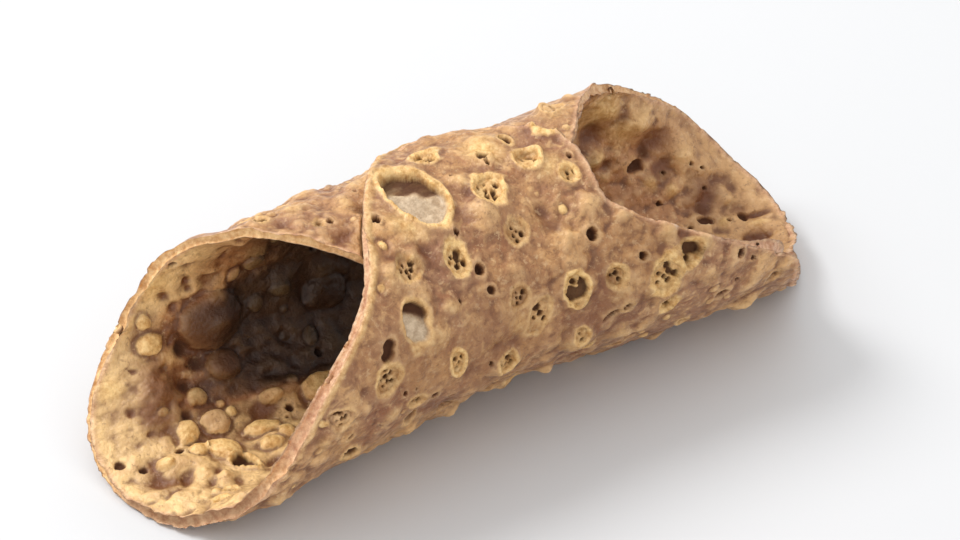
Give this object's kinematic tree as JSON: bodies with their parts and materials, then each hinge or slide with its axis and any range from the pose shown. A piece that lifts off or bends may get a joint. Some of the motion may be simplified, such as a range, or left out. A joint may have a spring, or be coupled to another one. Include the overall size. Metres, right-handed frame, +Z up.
{
  "type": "cannoli shell",
  "caption": "Empty fried cannoli shell: a sheet of blistered dough rolled into an open tube with overlapping flaps and a tongue at each end.",
  "frame": {"origin": "bottom centre of the bounding box, on the surface the shell rests on", "axes": "+X along the tube, +Y toward the far flap, the near flap on -Y lies outermost, +Z up"},
  "size_m": [0.12, 0.04, 0.0392],
  "materials": {
    "fried_dough": "crisp fried dough, matt with a faint oily gloss, blistered and mottled golden to mid brown"
  },
  "bodies": {
    "root": {"shell": "fried_dough"}
  },
  "joints": []
}
